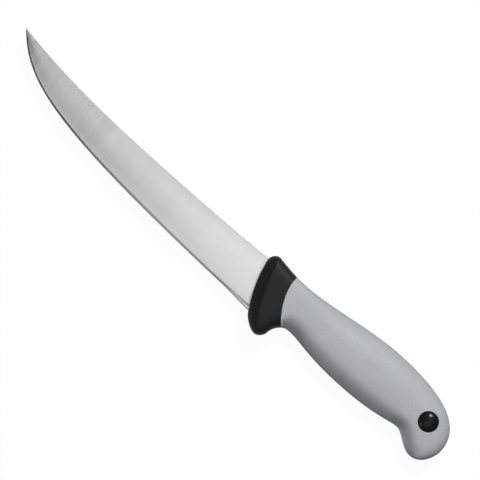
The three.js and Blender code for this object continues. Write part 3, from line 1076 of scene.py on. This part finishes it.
def rivetTree(sizes, ends):
    tree, given, identifiers = newTree("rivetHeads", sizes)
    nodes = tree.nodes
    grid = nodes.new("GeometryNodeMeshGrid")
    grid.inputs["Size X"].default_value = 1.0
    grid.inputs["Size Y"].default_value = 1.0
    tree.links.new(given["Profile Points"], grid.inputs["Vertices X"])
    tree.links.new(calc(tree, "ADD", given["Around"], 1), grid.inputs["Vertices Y"])
    along, around, _ = splitXyz(tree, nodes.new("GeometryNodeInputPosition").outputs[0])
    t = calc(tree, "ADD", along, 0.5)
    turn = calc(tree, "MULTIPLY", around, 2 * math.pi)

    def part(low, high):
        node = nodes.new("ShaderNodeMapRange")
        wire(tree, t, node.inputs["Value"])
        node.inputs["From Min"].default_value = low
        node.inputs["From Max"].default_value = high
        return node.outputs[0]

    # the profile runs from the middle of the dome, over its rolled edge, down the rim, in under the head,
    # down the shank and in to the axis
    lean = calc(tree, "MULTIPLY", part(0.0, ends["dome"]), math.pi / 2)
    sine = calc(tree, "SINE", lean)
    bulge = calc(tree, "SUBTRACT", 1.0, calc(tree, "POWER", sine, given["Dome Power"]))
    r = calc(tree, "MULTIPLY", given["Head Radius"], sine)
    inward = calc(tree, "SUBTRACT", given["Head Radius"], given["Shank Radius"])
    r = calc(tree, "SUBTRACT", r, calc(tree, "MULTIPLY", inward, part(ends["rim"], ends["seat"])))
    r = calc(tree, "SUBTRACT", r, calc(tree, "MULTIPLY", given["Shank Radius"], part(ends["shank"], 1.0)))
    rimTop = calc(tree, "ADD", given["Seat"], given["Rim"])
    z = calc(tree, "MULTIPLY_ADD", given["Dome"], bulge, rimTop)
    z = calc(tree, "SUBTRACT", z, calc(tree, "MULTIPLY", given["Rim"], part(ends["dome"], ends["rim"])))
    shank = calc(tree, "SUBTRACT", given["Seat"], given["Shank End"])
    z = calc(tree, "SUBTRACT", z, calc(tree, "MULTIPLY", shank, part(ends["seat"], ends["shank"])))
    spot = joinXyz(
        tree,
        calc(tree, "MULTIPLY", r, calc(tree, "COSINE", turn)),
        calc(tree, "MULTIPLY", r, calc(tree, "SINE", turn)),
        z,
    )
    move = nodes.new("GeometryNodeSetPosition")
    tree.links.new(grid.outputs["Mesh"], move.inputs["Geometry"])
    tree.links.new(spot, move.inputs["Position"])
    merge = nodes.new("GeometryNodeMergeByDistance")
    merge.inputs["Distance"].default_value = mergeDistance
    tree.links.new(move.outputs[0], merge.inputs["Geometry"])

    # two points at the rivet's centre, the second turned over
    pair = nodes.new("GeometryNodeMeshLine")
    pair.inputs["Count"].default_value = 2
    pair.inputs["Offset"].default_value = (0.0, 0.0, 0.0)
    tree.links.new(given["Centre"], pair.inputs["Start Location"])
    over = calc(tree, "MULTIPLY", nodes.new("GeometryNodeInputIndex").outputs[0], math.pi)
    turnOver = nodes.new("FunctionNodeEulerToRotation")
    tree.links.new(joinXyz(tree, over, 0.0, 0.0), turnOver.inputs[0])
    put = nodes.new("GeometryNodeInstanceOnPoints")
    tree.links.new(pair.outputs[0], put.inputs["Points"])
    tree.links.new(merge.outputs[0], put.inputs["Instance"])
    tree.links.new(turnOver.outputs[0], put.inputs["Rotation"])
    endTree(tree, put.outputs[0], given["Material"])
    return tree, identifiers


tree, identifiers = rivetTree(rivet["inputs"], rivet["ends"])
rivetPiece = grownFrom("rivetHeads", tree, identifiers, rivet["inputs"])
smoothBy(rivetPiece, rivet["sharpAngle"])
finishPiece(rivetPiece, "rivet_black", rivetFinish, "rivet_stud", "rivet_socket")


# Hidden pieces keep their CAD shape

hiddenFinishes = {"core": coreFinish, "tang_pin_front": bladeFinish, "tang_pin_rear": bladeFinish}
for nodeName, finish in hiddenFinishes.items():
    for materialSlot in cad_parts[nodeName].material_slots:
        materialSlot.material = finish
print("knife: hidden pieces dressed")


# Studio

studio = {
    "floorRadius": 7.5,
    "floorLoops": (0.4, 1.5),  # radii
    "floorAround": 72,
    "floorDrop": 0.0002,
    "sweepRadius": 0.6,
    "sweepSteps": 6,
    "wallRise": 0.9,
    "floorWhite": 0.96,  # share of plain white that the camera and reflections see
    "floorPale": (0.90, 0.90, 0.90),
    "floorBounce": (0.13, 0.13, 0.13),
    "world": (0.118, 0.12, 0.128),
}


def floorFinish():
    material = bpy.data.materials.new("paleFloor")
    material.use_nodes = True
    tree = material.node_tree
    tree.nodes.clear()
    leave = tree.nodes.new("ShaderNodeOutputMaterial")
    path = tree.nodes.new("ShaderNodeLightPath")
    seen = calc(tree, "MAXIMUM", path.outputs["Is Camera Ray"], path.outputs["Is Glossy Ray"])
    seen = calc(tree, "MAXIMUM", seen, path.outputs["Is Transmission Ray"])
    white = tree.nodes.new("ShaderNodeEmission")
    pale = tree.nodes.new("ShaderNodeBsdfDiffuse")
    pale.inputs["Color"].default_value = (*studio["floorPale"], 1.0)
    dim = tree.nodes.new("ShaderNodeBsdfDiffuse")
    dim.inputs["Color"].default_value = (*studio["floorBounce"], 1.0)
    shown = tree.nodes.new("ShaderNodeMixShader")
    shown.inputs[0].default_value = studio["floorWhite"]
    tree.links.new(pale.outputs[0], shown.inputs[1])
    tree.links.new(white.outputs[0], shown.inputs[2])
    both = tree.nodes.new("ShaderNodeMixShader")
    tree.links.new(seen, both.inputs[0])
    tree.links.new(dim.outputs[0], both.inputs[1])
    tree.links.new(shown.outputs[0], both.inputs[2])
    tree.links.new(both.outputs[0], leave.inputs[0])
    return material


def sweepFloor():
    # a round floor whose rim sweeps up into a low wall
    mesh = bpy.data.meshes.new("floor")
    shell = bmesh.new()
    radius = studio["floorRadius"]
    sweep = studio["sweepRadius"]
    profile = [(reach, 0.0) for reach in studio["floorLoops"]]
    for k in range(studio["sweepSteps"] + 1):
        turn = math.radians(90 * k / studio["sweepSteps"])
        profile.append((radius - sweep + sweep * math.sin(turn), sweep * (1 - math.cos(turn))))
    profile.append((radius, studio["wallRise"]))
    count = studio["floorAround"]
    spokes = [2 * math.pi * k / count for k in range(count)]
    loops = []
    for reach, rise in profile:
        z = rise - studio["floorDrop"]
        loops.append([shell.verts.new((reach * math.cos(a), reach * math.sin(a), z)) for a in spokes])
    shell.faces.new(loops[0])
    for a, b in zip(loops, loops[1:]):
        for k in range(count):
            shell.faces.new((a[k], b[k], b[(k + 1) % count], a[(k + 1) % count]))
    for face in shell.faces:
        face.smooth = True
    shell.to_mesh(mesh)
    shell.free()
    item = bpy.data.objects.new("floor", mesh)
    scene.collection.objects.link(item)
    item.data.materials.append(floorFinish())
    return item


sweepFloor()

lamps = {
    "keyLamp": {
        "at": (-0.15, 0.80, 1.15),
        "aim": (0.03, 0.0, 0.01),
        "size": (0.26, 0.26),
        "power": 16.3,
        "colour": (1.0, 0.995, 0.985),
    },
    "softBox": {
        "at": (0.28, -0.02, 1.40),
        "aim": (0.28, -0.02, 0.0),
        "size": (0.75, 0.95),
        "power": 2.90,
        "colour": (1.0, 1.0, 1.0),
    },
    "lowFill": {
        "at": (-0.28, -0.76, 0.93),
        "aim": (0.03, 0.0, 0.01),
        "size": (0.42, 0.22),
        "power": 1.15,
        "colour": (0.97, 0.985, 1.0),
    },
}
for name, lamp in lamps.items():
    light = bpy.data.lights.new(name, "AREA")
    light.shape = "RECTANGLE"
    light.size, light.size_y = lamp["size"]
    light.energy = lamp["power"]
    light.color = lamp["colour"]
    item = bpy.data.objects.new(name, light)
    item.location = lamp["at"]
    direction = Vector(lamp["aim"]) - item.location
    item.rotation_euler = direction.to_track_quat("-Z", "Y").to_euler()
    scene.collection.objects.link(item)

world = bpy.data.worlds.new("studio")
world.use_nodes = True
world.node_tree.nodes["Background"].inputs["Color"].default_value = (*studio["world"], 1.0)
scene.world = world

view = {"at": (-0.0310, 0.0109), "above": 4.3108, "turn": 42.0, "lens": 600.0, "sensor": 36.0}
camera = bpy.data.cameras.new("camera")
camera.lens = view["lens"]
camera.sensor_width = view["sensor"]
camera.dof.use_dof = False
cameraItem = bpy.data.objects.new("camera", camera)
cameraItem.location = (*view["at"], midHeight * mm + view["above"])
cameraItem.rotation_euler = (0.0, 0.0, math.radians(view["turn"]))
scene.collection.objects.link(cameraItem)
scene.camera = cameraItem
print("knife: studio ready")
